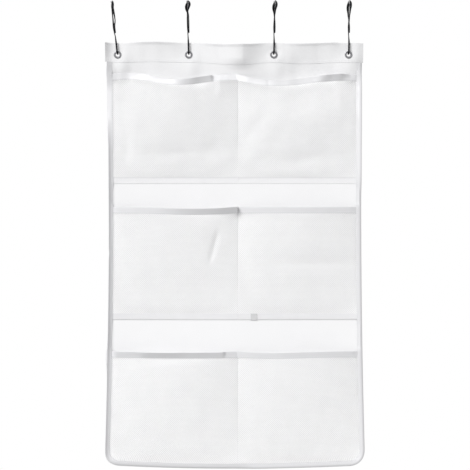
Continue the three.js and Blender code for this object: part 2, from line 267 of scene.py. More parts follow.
def half_width(depth):
    """Half the panel's width: drawn in at the waist, flared below, rounded at the foot."""
    above = depth < WAIST_DEPTH
    span = np.where(above, WAIST_DEPTH, CORNER_DEPTH - WAIST_DEPTH)
    end_width = np.where(above, TOP_WIDTH, BOTTOM_WIDTH)
    flare = ((np.minimum(depth, CORNER_DEPTH) - WAIST_DEPTH) / span) ** 2
    drop = np.clip(depth - CORNER_DEPTH, 0, CORNER_RADIUS)
    rounded_in = CORNER_RADIUS - np.sqrt(CORNER_RADIUS**2 - drop**2)
    return (WAIST_WIDTH + (end_width - WAIST_WIDTH) * flare) / 2 - rounded_in


def clear_of_eyelets(across, down, flat, hold):
    """0 within a flat round at each eyelet, rising to 1 around it. down is measured from the eyelet."""
    free = 1
    for eyelet in EYELETS:
        off = np.maximum(np.hypot(across - eyelet, down) - flat, 0)
        free = free * (1 - np.exp(-((off / hold) ** 2)))
    return free


def clear_of_jaws(across, depth):
    """0 at each eyelet and above it, where a hook's jaw holds the cloth flat, rising to 1 around."""
    return clear_of_eyelets(across, np.maximum(depth - EYELET_DEPTH, 0), EYELET_FLAT, EYELET_HOLD)


def side_curls(across, depth):
    """For each side edge: which side it is, how high it curls, and 0 to 1 from flat cloth to the edge.
    What stands out past the edge goes on curling only up to a limit."""
    reach = half_width(np.minimum(depth, CORNER_DEPTH))
    for side, stops in ((-1, LEFT_CURL), (1, RIGHT_CURL)):
        share = np.clip(1 - (reach - side * across) / CURL_SPAN, 0, CURL_LIMIT)
        yield side, through(stops, depth), share


def drawn_in(across, depth):
    """How far to the right a curled side edge is drawn, so that the cloth keeps its length."""
    pull = sum(-side * height**2 * share**3 for side, height, share in side_curls(across, depth))
    return pull * 2 / 3 / CURL_SPAN


def drape(across, depth):
    """How far every layer hangs forward of flat: a header that leans, waves and tilts, with one sharp
    ridge, a rolled top edge and a lifted hem, then curled side and foot edges, and slow waves below."""
    ridge = np.where(
        across < RIDGE,
        smooth_step(RIDGE - RIDGE_RUN_UP, RIDGE, across),
        np.exp(-np.maximum(across - RIDGE, 0) / RIDGE_RUN_DOWN),
    )
    ridge = ridge * RIDGE_HEIGHT * (1 - smooth_step(*RIDGE_FADE, depth))
    up = np.maximum(1 - depth / LEAN_REACH, 0)
    lean = through(HEADER_LEANS, across) * (LEAN_STRAIGHT * up + (1 - LEAN_STRAIGHT) * up**3)
    roll = TOP_ROLL * smooth_step(ROLL_DEPTH, 0, depth)
    hem = HEM_LIFT * (1 - smooth_step(*HEM_FADE, depth))
    waves = through(HEADER_WAVES, across) * (1 - smooth_step(*WAVE_FADE, depth))
    foot = PANEL_HEIGHT - BELLY * np.minimum(np.abs(across) / FOOT_REACH, 1) ** 2
    foot_share = np.clip(1 - (foot - depth) / CURL_SPAN, 0, CURL_LIMIT)
    curl = through(FOOT_CURL, across) * foot_share**2
    for _, height, share in side_curls(across, depth):
        curl = curl + height * share**2
    curl = curl * smooth_step(*CURL_RISE, depth)
    slow = SLOW_WAVE * smooth_step(*SLOW_RISE, depth) * np.sin(across / SLOW_ACROSS + depth / SLOW_DOWN)
    above = EYELET_DEPTH - depth
    tilt = through(HEADER_TILTS, across) * above * (1 - smooth_step(*TILT_FADE, depth))
    tilt = tilt * clear_of_eyelets(across, above, FLANGE_FLAT, FLANGE_HOLD)
    folds = waves + ridge + lean + roll + hem + curl
    return clear_of_jaws(across, depth) * folds + tilt + slow


def sag(across, depth):
    """How far the header droops between the hooks."""
    droop = sum(drop * hump(across, middle, spread) for middle, drop, spread in SAGS)
    return droop * (1 - smooth_step(*SAG_FADE, depth)) * clear_of_jaws(across, depth)


def rumple(across, depth):
    """Small uneven waves in the mesh, strongest in the top row: a coarse set and a weaker fine one, with
    each wave bent by a longer one, so that no two look alike."""
    size = RUMPLE + TOP_RUMPLE * (1 - smooth_step(*TOP_RUMPLE_FADE, depth))
    coarse = np.sin(across / 9 + 1.7 * np.sin(depth / 31)) * np.sin(depth / 13 + 1.3 * np.sin(across / 37))
    fine = np.sin((across + depth) / 5.5 + 2 * np.sin(across / 23)) * np.sin((across - 2 * depth) / 17)
    return size * (coarse + 0.4 * fine)


def hang(across, depth, forward):
    """Where a point of the panel or header hangs, as rows of x, y, z in millimetres."""
    height = PANEL_TOP - depth - sag(across, depth)
    place = across + drawn_in(across, depth), -forward - drape(across, depth), height
    return np.stack(np.broadcast_arrays(*place), axis=-1)


def crease(across, depth):
    """The mesh's fold lines, each a soft valley that dies out at its ends."""
    total = 0
    for start_x, start_depth, end_x, end_depth, spread, height in CREASES:
        run = np.hypot(end_x - start_x, end_depth - start_depth)
        along_x, along_depth = (end_x - start_x) / run, (end_depth - start_depth) / run
        along = (across - start_x) * along_x + (depth - start_depth) * along_depth
        off = (across - start_x) * along_depth - (depth - start_depth) * along_x
        fold = height * hump(off, 0, spread)
        for from_end in (along, run - along):
            fold = fold * smooth_step(-CREASE_PAST * run, CREASE_INSIDE * run, from_end)
        total = total + fold
    return total


def hang_pocket(row, share, depth, forward):
    """Where a point of a pocket row hangs. share runs from -1 at the left sewn line by 0 at the
    centre seam to 1 at the right one, and forward from the mesh's back face."""
    share, depth, forward = np.broadcast_arrays(share, depth, forward)
    left = share < 0
    along = np.clip(np.where(left, share + 1, share), 0, 1)
    rise = row.rise(depth)
    ribbon = np.maximum((row.mouth + RIBBON_HEIGHT - depth) / RIBBON_HEIGHT, 0)

    def either(settings):
        return np.where(left, through(settings[0], along), through(settings[1], along))

    dip = 0
    for wave, (left_dip, right_dip) in enumerate(zip(*row.dips), start=1):
        dip = dip + np.where(left, left_dip, right_dip) * np.sin(wave * math.pi * along)
    inner = half_width(depth) - BINDING_WIDTH
    across = CENTRE_SEAM + share * np.where(left, inner + CENTRE_SEAM, inner - CENTRE_SEAM)
    bulge = row.fullness * 4 * along * (1 - along) * rise**POCKET_ROUNDNESS
    free = smooth_step(0, SEAM_EASE, along) * smooth_step(1, 1 - SEAM_EASE, along)
    free = free * smooth_step(0, FOOT_EASE, rise)
    unbound = smooth_step(1, 1 - BOUND_EASE, np.abs(share))
    folds = rise**PLEAT_STEEPNESS * either(row.pleats) + ribbon * unbound * either(row.leans)
    folds = folds + free * (crease(across, depth) + rumple(across, depth))
    out = MESH_SEAT + LAYER * rise + np.maximum(bulge + folds, 0) + forward
    height = PANEL_TOP - depth - rise**2 * dip
    return np.stack((across + drawn_in(across, depth), -out - drape(across, depth), height), axis=-1)


# Making pieces
def mesh_object(name, shape):
    """Turns a finished bmesh into an object at the origin."""
    mesh = bpy.data.meshes.new(name)
    shape.to_mesh(mesh)
    shape.free()
    piece = bpy.data.objects.new(name, mesh)
    bpy.context.scene.collection.objects.link(piece)
    return piece


def move_points(piece, place):
    """Moves every vertex to place(x, y), which takes and gives arrays in millimetres."""
    vertices = piece.data.vertices
    flat = np.empty(len(vertices) * 3)
    vertices.foreach_get("co", flat)
    flat = flat.reshape(-1, 3)
    vertices.foreach_set("co", (place(flat[:, 0], flat[:, 1]) * MM).ravel())
    piece.data.update()


def baked(item):
    """The mesh that an object shows, with its modifiers or its round section made real."""
    return bpy.data.meshes.new_from_object(item.evaluated_get(bpy.context.evaluated_depsgraph_get()))


def thicken(piece, thickness, cutter=None, sharp=50):
    """Gives a hung sheet its thickness about its own surface, and cuts any holes."""
    wall = piece.modifiers.new("thickness", "SOLIDIFY")
    wall.thickness = thickness * MM
    wall.offset = 0
    if cutter:
        holes = piece.modifiers.new("holes", "BOOLEAN")
        holes.operation = "DIFFERENCE"
        holes.solver = "EXACT"
        holes.object = cutter
    mesh = baked(piece)
    piece.modifiers.clear()
    piece.data = mesh
    piece.data.shade_smooth()
    if sharp:
        piece.data.set_sharp_from_angle(angle=math.radians(sharp))


def hung_sheet(name, columns, rows, place, thickness, cutter=None):
    """A sheet of cloth: a grid from 0 to 1 each way, mapped with the same numbers, hung and thickened."""
    shape = bmesh.new()
    shape.loops.layers.uv.new("cloth")
    bmesh.ops.create_grid(shape, x_segments=columns, y_segments=rows, size=0.5, calc_uvs=True)
    bmesh.ops.translate(shape, verts=shape.verts, vec=(0.5, 0.5, 0))
    sheet = mesh_object(name, shape)
    move_points(sheet, place)
    thicken(sheet, thickness, cutter)
    return sheet


def dress(piece, body, finish, slot, *nodes):
    """Gives a piece its material, its body and the solids that it stands for. The slot is not used."""
    piece.data.materials.clear()
    piece.data.materials.append(finish)
    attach(piece, body)
    if nodes:
        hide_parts(*nodes)
    return piece


# Materials
def linear(colour):
    """An sRGB hex colour as linear red, green, blue and alpha."""
    channels = [int(colour[start : start + 2], 16) / 255 for start in (1, 3, 5)]
    return [c / 12.92 if c <= 0.04045 else ((c + 0.055) / 1.055) ** 2.4 for c in channels] + [1]


def add_node(tree, kind, settings=None, inputs=None):
    """Adds a node, sets its properties, and sets or links its inputs."""
    node = tree.nodes.new(kind)
    for name, value in (settings or {}).items():
        setattr(node, name, value)
    for name, value in (inputs or {}).items():
        if isinstance(value, bpy.types.NodeSocket):
            tree.links.new(value, node.inputs[name])
        else:
            node.inputs[name].default_value = value
    return node


def new_material(name):
    """An empty material, and add_node for its own tree."""
    material = bpy.data.materials.new(name)
    material.use_nodes = True
    material.node_tree.nodes.clear()
    return material, partial(add_node, material.node_tree)


# A wave texture repeats every 2 pi / 20 of its own units
WAVE_PERIOD = 2 * math.pi / 20
BLEND = {"data_type": "RGBA"}


def woven_polyester():
    """Plain-woven white polyester, matt, with a fine thread grid whose gaps carry painted shade. The real
    threads lie 0.3 mm apart, too fine to show, so the grid is drawn at 1.4 mm."""
    material, add = new_material("plain_woven_polyester")
    thread = WAVE_PERIOD / (1.4 * MM)
    place = add("ShaderNodeTexCoord").outputs["Object"]
    warp, weft = (
        add(
            "ShaderNodeTexWave",
            {"bands_direction": direction},
            {"Vector": place, "Scale": thread, "Distortion": 0.6, "Detail Scale": 0.4},
        )
        for direction in ("X", "Z")
    )
    grid = add("ShaderNodeMath", {"operation": "MAXIMUM"}, {0: warp.outputs["Fac"], 1: weft.outputs["Fac"]})
    relief = add(
        "ShaderNodeBump", inputs={"Height": grid.outputs[0], "Distance": 0.12 * MM, "Strength": 0.7}
    )
    cloud = add("ShaderNodeTexNoise", inputs={"Vector": place, "Scale": 1 / (45 * MM), "Detail": 3})
    tone = add("ShaderNodeMix", BLEND, {0: cloud.outputs["Fac"], 6: linear("#e9e9ea"), 7: linear("#efeff0")})
    # Painted shade: the gaps between the threads are drawn greyer
    threads = add("ShaderNodeMix", BLEND, {0: grid.outputs[0], 6: linear("#dededf"), 7: tone.outputs[2]})
    cloth = add(
        "ShaderNodeBsdfPrincipled",
        inputs={
            "Base Color": threads.outputs[2],
            "Roughness": 0.85,
            "Sheen Weight": 0.08,
            "Normal": relief.outputs[0],
        },
    )
    add("ShaderNodeOutputMaterial", inputs={"Surface": cloth.outputs[0]})
    return material


def knitted_mesh(name, dark, light):
    """Knitted polyester net: matt strands of twisted filament, slightly uneven in tone."""
    material, add = new_material(name)
    place = add("ShaderNodeTexCoord").outputs["Object"]
    yarn = add("ShaderNodeTexNoise", inputs={"Vector": place, "Scale": 1 / (0.5 * MM)})
    relief = add(
        "ShaderNodeBump", inputs={"Height": yarn.outputs["Fac"], "Distance": 0.05 * MM, "Strength": 0.6}
    )
    cloud = add("ShaderNodeTexNoise", inputs={"Vector": place, "Scale": 1 / (18 * MM), "Detail": 4})
    tone = add("ShaderNodeMix", BLEND, {0: cloud.outputs["Fac"], 6: linear(dark), 7: linear(light)})
    strands = add(
        "ShaderNodeBsdfPrincipled",
        inputs={"Base Color": tone.outputs[2], "Roughness": 0.75, "Normal": relief.outputs[0]},
    )
    add("ShaderNodeOutputMaterial", inputs={"Surface": strands.outputs[0]})
    return material


def satin_tape():
    """Grey polyester satin: long lengthwise floats give it fine streaks and a soft directional gloss.
    Real floats lie under 0.1 mm apart, too fine to show, so the streaks are drawn 0.36 mm wide and
    27 mm long. The map runs from 0 to 1 along and across a tape, and is scaled for a mouth ribbon."""
    material, add = new_material("polyester_satin")
    along, across = RIBBON_CUT
    lengthwise = add("ShaderNodeUVMap", {"uv_map": "cloth"})
    laid = add(
        "ShaderNodeMapping",
        inputs={"Vector": lengthwise.outputs[0], "Scale": (along / 27, across / 0.36, 1)},
    )
    streaks = add("ShaderNodeTexNoise", inputs={"Vector": laid.outputs[0], "Scale": 1, "Detail": 5})
    floats = streaks.outputs["Fac"]
    tone = add("ShaderNodeMix", BLEND, {0: floats, 6: linear("#d2d2d4"), 7: linear("#e1e1e3")})
    gloss = add("ShaderNodeMapRange", inputs={"Value": floats, "To Min": 0.36, "To Max": 0.5})
    relief = add("ShaderNodeBump", inputs={"Height": floats, "Distance": 0.05 * MM, "Strength": 0.4})
    tape = add(
        "ShaderNodeBsdfPrincipled",
        inputs={
            "Base Color": tone.outputs[2],
            "Roughness": gloss.outputs[0],
            "Anisotropic": 0.5,
            "Specular IOR Level": 0.8,
            "Normal": relief.outputs[0],
        },
    )
    add("ShaderNodeOutputMaterial", inputs={"Surface": tape.outputs[0]})
    return material


def woven_label():
    """Blank damask-woven tape, mid grey, with fine cross ribs drawn 0.8 mm apart."""
    material, add = new_material("woven_label_tape")
    place = add("ShaderNodeTexCoord").outputs["Object"]
    ribs = add(
        "ShaderNodeTexWave",
        {"bands_direction": "Z"},
        {"Vector": place, "Scale": WAVE_PERIOD / (0.8 * MM), "Distortion": 0.5},
    )
    relief = add(
        "ShaderNodeBump", inputs={"Height": ribs.outputs["Fac"], "Distance": 0.06 * MM, "Strength": 0.7}
    )
    tone = add("ShaderNodeMix", BLEND, {0: ribs.outputs["Fac"], 6: linear("#bdbdbe"), 7: linear("#cccccd")})
    tape = add(
        "ShaderNodeBsdfPrincipled",
        inputs={"Base Color": tone.outputs[2], "Roughness": 0.7, "Normal": relief.outputs[0]},
    )
    add("ShaderNodeOutputMaterial", inputs={"Surface": tape.outputs[0]})
    return material


def sewing_thread():
    """Spun polyester thread: pale grey, soft sheen, twisted about every half millimetre."""
    material, add = new_material("polyester_thread")
    place = add("ShaderNodeTexCoord").outputs["Object"]
    twist = add(
        "ShaderNodeTexWave",
        {"bands_direction": "DIAGONAL"},
        {"Vector": place, "Scale": WAVE_PERIOD / (0.5 * MM)},
    )
    tone = add("ShaderNodeMix", BLEND, {0: twist.outputs["Fac"], 6: linear("#dedee1"), 7: linear("#ececee")})
    thread = add(
        "ShaderNodeBsdfPrincipled",
        inputs={"Base Color": tone.outputs[2], "Roughness": 0.6, "Sheen Weight": 0.1},
    )
    add("ShaderNodeOutputMaterial", inputs={"Surface": thread.outputs[0]})
    return material


def plated_metal(name, dark, light, roughness, grain):
    """Plated metal: mirror-like with faint cloudy wear and fine random scratches of the grain size."""
    material, add = new_material(name)
    place = add("ShaderNodeTexCoord").outputs["Object"]
    wear = add("ShaderNodeTexNoise", inputs={"Vector": place, "Scale": 1 / (6 * MM), "Detail": 4})
    scratches = add("ShaderNodeTexNoise", inputs={"Vector": place, "Scale": 1 / (grain * MM), "Detail": 6})
    tone = add("ShaderNodeMix", BLEND, {0: wear.outputs["Fac"], 6: linear(dark), 7: linear(light)})
    gloss = add(
        "ShaderNodeMapRange",
        inputs={"Value": scratches.outputs["Fac"], "To Min": roughness * 0.7, "To Max": roughness * 1.4},
    )
    metal = add(
        "ShaderNodeBsdfPrincipled",
        inputs={"Base Color": tone.outputs[2], "Metallic": 1, "Roughness": gloss.outputs[0]},
    )
    add("ShaderNodeOutputMaterial", inputs={"Surface": metal.outputs[0]})
    return material


CLOTH_WHITE = woven_polyester()
MESH_WHITE = knitted_mesh("knitted_polyester_mesh", "#f6f6f7", "#fdfdfd")
# Below a sewn foot the mesh lies on the panel, without the shade behind its holes that greys it above.
# Its strands there carry painted shade: drawn greyer, so that the eye sees one even mesh
MESH_PAINTED_SHADE = knitted_mesh("polyester_mesh_painted_shade", "#e8e8ea", "#f0f0f1")
SATIN = satin_tape()
LABEL = woven_label()
THREAD = sewing_thread()
# Polished nickel drawn darker than bare nickel: painted shade standing in for the darker surroundings it
# reflects
NICKEL_PAINTED_SHADE = plated_metal("polished_nickel_painted_shade", "#6f6f72", "#8a8a8d", roughness=0.25, grain=0.6)
BLACK_NICKEL = plated_metal("black_nickel_wire", "#101012", "#242427", roughness=0.3, grain=0.4)


# Cloth pieces
PUNCH_RADIUS = EYELET_HOLE + EYELET_WALL + SEAM_GAP
PUNCH_LENGTH = 20


def eyelet_punch():
    """Pins that punch the eyelet holes through header and panel."""
    shape = bmesh.new()
    for eyelet in EYELETS:
        place = Matrix.Translation(Vector((eyelet, 0, PANEL_TOP - EYELET_DEPTH)) * MM)
        bmesh.ops.create_cone(
            shape,
            cap_ends=True,
            segments=32,
            radius1=PUNCH_RADIUS * MM,
            radius2=PUNCH_RADIUS * MM,
            depth=PUNCH_LENGTH * MM,
            matrix=place @ Matrix.Rotation(math.pi / 2, 4, "X"),
        )
    return mesh_object("eyelet_punch", shape)


STRAIGHT_ROWS = 0.9
BELLY_START = 0.3


def hang_panel(across, down):
    """The panel's flat grid, with its last rows crowded where the foot's corners turn."""
    turn = np.clip((down - STRAIGHT_ROWS) / (1 - STRAIGHT_ROWS), 0, 1) * math.pi / 2
    depth = CORNER_DEPTH * np.minimum(down / STRAIGHT_ROWS, 1) + CORNER_RADIUS * np.sin(turn)
    place = (2 * across - 1) * half_width(depth)
    belly = BELLY * smooth_step(BELLY_START, 1, down) * (1 - np.clip(np.abs(place) / FOOT_REACH, 0, 1) ** 2)
    return hang(place, depth + belly, 0)


def folded(section, flat, bend):
    """For a strip folded in two: how far a point has turned round the fold, and its distance from it."""
    fold = math.pi * bend
    run = section * (2 * flat + fold)
    turn = np.clip((run - flat) / bend, 0, math.pi)
    return turn, np.maximum(flat - run, 0) + np.maximum(run - flat - fold, 0)


HEADER_PRESS = 0.25
HEADER_PRESS_RUN = 12
HEADER_FOLD_DROP = 0.25


def header_leaf(depth):
    """How far the header's leaves lie from the panel's middle, drawn in where they are sewn down."""
    pressed = HEADER_PRESS * smooth_step(HEADER_DEPTH - HEADER_PRESS_RUN, HEADER_DEPTH, depth)
    return HEADER_FACE - CLOTH / 2 - pressed


def hang_header(across, round_fold):
    """The header's flat strip: up the front, over the panel's top edge and down the back."""
    bend = header_leaf(0)
    turn, below = folded(round_fold, HEADER_DEPTH - HEADER_FOLD_DROP, bend)
    depth = HEADER_FOLD_DROP + below - bend * np.sin(turn)
    return hang((across - 0.5) * HEADER_WIDTH, depth, header_leaf(depth) * np.cos(turn))


# The edge tape's run along the panel, then its section: the margin is measured in from the panel's edge
BINDING_START = HEADER_DEPTH + SEAM_GAP
CORNER_RUN = CORNER_RADIUS * math.pi / 2
BINDING_HALF = FOOT_REACH + CORNER_RUN + CORNER_DEPTH - BINDING_START
TAPE_EASE = 0.25
TAPE_OUTER = TAPE_EASE - LAYER
TAPE_ROUNDING = 4.7
TAPE_BACK_ROUNDING = 1.2
TAPE_FRONT_FLAT = BINDING_WIDTH - TAPE_OUTER - TAPE_ROUNDING
TAPE_BACK_FLAT = BINDING_WIDTH - TAPE_OUTER - TAPE_BACK_ROUNDING
TAPE_FOLD = 8
TAPE_WIDTH = TAPE_FRONT_FLAT + TAPE_FOLD + TAPE_BACK_FLAT
TAPE_FRONT = BINDING_FRONT - CLOTH / 2
TAPE_BACK = HEADER_FACE - CLOTH / 2
# Left of these shares of the run the front leaf turns as tightly as the back one
TAPE_LEFT = (0.2, 0.3)
# Each wobble of the tape's inner edges: its size, its rate along the tape and its start
TAPE_WOBBLES = ((0.35, 71, 0), (0.25, 163, 1))
# Distances from a pocket's mesh between which the tape steps down to the bare panel
STEP_FAR = 6
STEP_NEAR = 1


def edge_place(share, margin):
    """A point at a margin inside the panel's edge. share runs from -1 at the top left, down, along
    the foot and up to 1 at the top right."""
    run = np.abs(share) * BINDING_HALF
    turn = np.clip((run - FOOT_REACH) / CORNER_RADIUS, 0, math.pi / 2)
    side_depth = CORNER_DEPTH - np.maximum(run - FOOT_REACH - CORNER_RUN, 0)
    flare = half_width(side_depth) - BOTTOM_WIDTH / 2
    foot = np.minimum(run / FOOT_REACH, 1)
    across = foot * FOOT_REACH + (CORNER_RADIUS - margin) * np.sin(turn) + flare
    depth = side_depth + (CORNER_RADIUS - margin) * np.cos(turn) + BELLY * (1 - foot**2)
    bumps = sum(out * hump(side_depth, middle, spread) for middle, out, spread in EDGE_BUMPS)
    outer = np.clip(1 - margin / BINDING_WIDTH, 0, 1)
    return np.sign(share) * (across + np.where(share < 0, bumps, 0) * outer), depth


def tape_pressed(depth, margin):
    """How far the tape's front leaf is drawn in at its inner edge, onto the mesh or the bare panel."""
    cover = PANEL_FACE
    for row in ROWS:
        inside = smooth_step(row.mouth - STEP_FAR, row.mouth - STEP_NEAR, depth)
        inside = inside * smooth_step(row.edge + STEP_FAR, row.edge + STEP_NEAR, depth)
        cover = np.maximum(cover, inside * (MESH_SEAT + LAYER * row.rise(depth) + CLOTH))
    inner = np.clip((margin - TAPE_OUTER) / (BINDING_WIDTH - TAPE_OUTER), 0, 1)
    return inner * (TAPE_FRONT - cover - SEAM_GAP)


def hang_binding(along, section):
    """The edge tape: a front leaf that rounds off to the cloth's edge, a tight turn, a back leaf."""
    share = 2 * along - 1
    run = section * TAPE_WIDTH - TAPE_FRONT_FLAT
    turn = np.clip(run / TAPE_FOLD, 0, 1) * math.pi
    on_left = smooth_step(*TAPE_LEFT, -share)
    front_rounding = TAPE_ROUNDING - on_left * (TAPE_ROUNDING - TAPE_BACK_ROUNDING)
    front_flat = BINDING_WIDTH - TAPE_OUTER - front_rounding
    rounding = np.where(run < TAPE_FOLD / 2, front_rounding, TAPE_BACK_ROUNDING)
    inward = np.maximum(-run, 0) * front_flat / TAPE_FRONT_FLAT + np.maximum(run - TAPE_FOLD, 0)
    wobble = sum(size * np.sin(share * rate + start) for size, rate, start in TAPE_WOBBLES)
    margin = TAPE_OUTER + rounding * (1 - np.sin(turn)) + inward * (1 + wobble / BINDING_WIDTH)
    across, depth = edge_place(share, margin)
    pressed = np.where(run < 0, tape_pressed(depth, margin), 0)
    leaf = (TAPE_FRONT - TAPE_BACK) / 2 + (TAPE_FRONT + TAPE_BACK) / 2 * np.cos(turn)
    return hang(across, depth, leaf - pressed)


RIBBON_PRESS = 0.35
RIBBON_REACH = 0.998
# Shares of the bend by which the ribbon's fold starts below the mouth and rises over it
FOLD_DROP = 0.5
FOLD_HEIGHT = 0.9


def hang_ribbon(row):
    """The mouth ribbon of a row, folded over the mesh's edge and pressed onto it in front."""
    front = CLOTH + SEAM_GAP + CLOTH / 2
    back = -SEAM_GAP - CLOTH / 2
    bend = (front - back) / 2
    drop = FOLD_DROP * bend

    def place(along, section):
        turn, below = folded(section, RIBBON_FLAT, bend)
        pressed = RIBBON_PRESS * np.where(turn > 0, 0, below / RIBBON_FLAT)
        forward = (front + back) / 2 + bend * np.cos(turn) - pressed
        depth = row.mouth + below * (1 - drop / RIBBON_FLAT) + drop - FOLD_HEIGHT * bend * np.sin(turn)
        return hang_pocket(row, (2 * along - 1) * RIBBON_REACH, depth, forward)

    return place


DIAMOND_WIDE = 2.9
DIAMOND_TALL = 3.2
STRAND = 0.86
STRAND_THICKNESS = 0.4
SPARE_CELLS = 4
MESH_TUCK = BINDING_WIDTH - EDGE_TUCK
# The mesh below a sewn foot: how soon it turns under and parts from the foot, and where its layers lie
HEM_TURN = 0.6
HEM_EASE = 2
HEM_FRONT = 0.2
HEM_APART = 0.5


def pocket_net(row, side):
    """One pocket's net: a grid turned on its corner, with every cell opened to a diamond hole, cut to
    the pocket's flat size and hung. A row with a hem has it folded under along the lower edge."""
    pocket_width = WAIST_WIDTH / 2 - BINDING_WIDTH - side * CENTRE_SEAM
    width = pocket_width + MESH_TUCK
    drop = row.edge - row.mouth
    length = drop + row.hem
    shape = bmesh.new()
    count = int(width / DIAMOND_WIDE + length / DIAMOND_TALL) + SPARE_CELLS
    bmesh.ops.create_grid(shape, x_segments=count, y_segments=count, size=count / 2)
    on_corner = Matrix(
        (
            (DIAMOND_WIDE / 2, -DIAMOND_WIDE / 2, 0, width / 2),
            (DIAMOND_TALL / 2, DIAMOND_TALL / 2, 0, length / 2),
            (0, 0, 1, 0),
            (0, 0, 0, 1),
        )
    )
    bmesh.ops.transform(shape, matrix=on_corner, verts=shape.verts)
    outside = [
        face
        for face in shape.faces
        if abs(face.calc_center_median().x - width / 2) > width / 2 + DIAMOND_WIDE
        or abs(face.calc_center_median().y - length / 2) > length / 2 + DIAMOND_TALL
    ]
    bmesh.ops.delete(shape, geom=outside, context="FACES")
    cells = shape.faces[:]
    bmesh.ops.inset_individual(shape, faces=cells, thickness=STRAND / 2, use_even_offset=True)
    bmesh.ops.delete(shape, geom=cells, context="FACES")
    cuts = (((0, 0), (-1, 0)), ((0, 0), (0, -1)), ((width, 0), (1, 0)), ((0, length), (0, 1)))
    for edge, outward in cuts:
        bmesh.ops.bisect_plane(
            shape,
            geom=shape.verts[:] + shape.edges[:] + shape.faces[:],
            plane_co=(*edge, 0),
            plane_no=(*outward, 0),
            clear_outer=True,
        )
    side_name = "left" if side < 0 else "right"
    net = mesh_object(f"pocket_net_{row.name}_{side_name}", shape)

    def place(across, down):
        under = smooth_step(drop - HEM_TURN, drop + HEM_TURN, down) if row.hem else 1
        depth = row.mouth + drop - np.abs(drop - down)
        on_panel = 0 if row.bound else smooth_step(row.seam, row.seam + HEM_EASE, depth)
        forward = CLOTH / 2 + on_panel * (HEM_FRONT - HEM_APART * under)
        return hang_pocket(row, side * across / pocket_width, depth, forward)

    move_points(net, place)
    if side < 0:
        net.data.flip_normals()
    thicken(net, STRAND_THICKNESS, sharp=None)
    return net, (width, length)


def paint_shade_below(net, seam):
    """Gives the faces of a net below its sewn foot the mesh with painted shade."""
    middles = np.empty(len(net.data.polygons) * 3)
    net.data.polygons.foreach_get("center", middles)
    net.data.materials.append(MESH_PAINTED_SHADE)
    below = middles[2::3] < (PANEL_TOP - seam) * MM
    net.data.polygons.foreach_set("material_index", below.astype(np.int32))


LABEL_BEND = 0.18
LABEL_LIFT = 0.25
LABEL_LIFT_START = 0.3


def hang_label(across, section):
    """The blank tab on the middle row's hem: a short tape folded in two, its fold hanging down."""
    row = ROWS[1]
    low, high = node_box("label_tab")
    drop = high.z - low.z - LABEL_BEND
    turn, above = folded(section, drop, LABEL_BEND)
    down = drop - above + LABEL_BEND * np.sin(turn)
    lift = LABEL_LIFT * smooth_step(LABEL_LIFT_START, 1, down / drop)
    forward = -(low.y + high.y) / 2 + LABEL_BEND * np.cos(turn) + lift
    return hang(low.x + across * (high.x - low.x), row.seam + down, forward)


punch = eyelet_punch()
panel = hung_sheet("panel_cloth", 130, 200, hang_panel, WOVEN_THICKNESS, punch)
dress(panel, "caddy", CLOTH_WHITE, "cloth", "back_panel")
header = hung_sheet("header_cloth", 200, 60, hang_header, WOVEN_THICKNESS, punch)
dress(header, "caddy", CLOTH_WHITE, "cloth", "header_band")
bpy.data.objects.remove(punch)

binding = hung_sheet("edge_tape", 520, 22, hang_binding, SATIN_THICKNESS)
dress(binding, "caddy", SATIN, "satin", "edge_binding")

for row in ROWS:
    for side in (-1, 1):
        net, flat_size = pocket_net(row, side)
        dress(net, "caddy", MESH_WHITE, "mesh", f"pocket_mesh_{row.name}")
        if not row.bound:
            # The mesh below a sewn foot gets painted shade
            paint_shade_below(net, row.seam)

for row in ROWS:
    ribbon = hung_sheet(f"mouth_ribbon_{row.name}", 260, 20, hang_ribbon(row), SATIN_THICKNESS)
    dress(ribbon, "caddy", SATIN, "satin", f"pocket_ribbon_{row.name}")

label = hung_sheet("blank_label", 14, 40, hang_label, LABEL_THICKNESS)
dress(label, "caddy", LABEL, "label", "label_tab")

# Sewing
STITCH = 3.2
STITCH_SHARE = 0.72
THREAD_RADIUS = 0.27
SEWN_IN = 2
HEADER_SEWN_IN = 3
RIBBON_SEWN_IN = 1.8
RIBBON_SEWN_PRESS = 0.8 * RIBBON_PRESS
# A pocket row's stitches run from its left sewn line to a little short of its right one
ROW_HALF = 186
ROW_SHORT = 4


def stitch_shape():
    """One stitch as a small bead, stretched to size where it is sewn."""
    shape = bmesh.new()
    bmesh.ops.create_uvsphere(shape, u_segments=6, v_segments=4, radius=MM)
    mesh = bpy.data.meshes.new("stitch")
    shape.to_mesh(mesh)
    shape.free()
    return mesh


STITCH_BEAD = stitch_shape()


def sewn_line(name, places):
    """Stitches laid along a hung line of points, one between each two of them."""
    shape = bmesh.new()
    for start, end in zip(places, places[1:]):
        reach = Vector(end - start)
        turn = reach.to_track_quat("Z", "Y").to_matrix().to_4x4()
        size = Matrix.Diagonal((THREAD_RADIUS, THREAD_RADIUS, reach.length * STITCH_SHARE / 2, 1))
        stitch = STITCH_BEAD.copy()
        stitch.transform(Matrix.Translation(Vector(start + end) / 2 * MM) @ turn @ size)
        shape.from_mesh(stitch)
        bpy.data.meshes.remove(stitch)
    stitches = mesh_object(name, shape)
    stitches.data.shade_smooth()
    return dress(stitches, "caddy", THREAD, "cloth")


def spaced(start, end):
    """Places one stitch apart."""
    return np.linspace(start, end, int(abs(end - start) / STITCH) + 1)


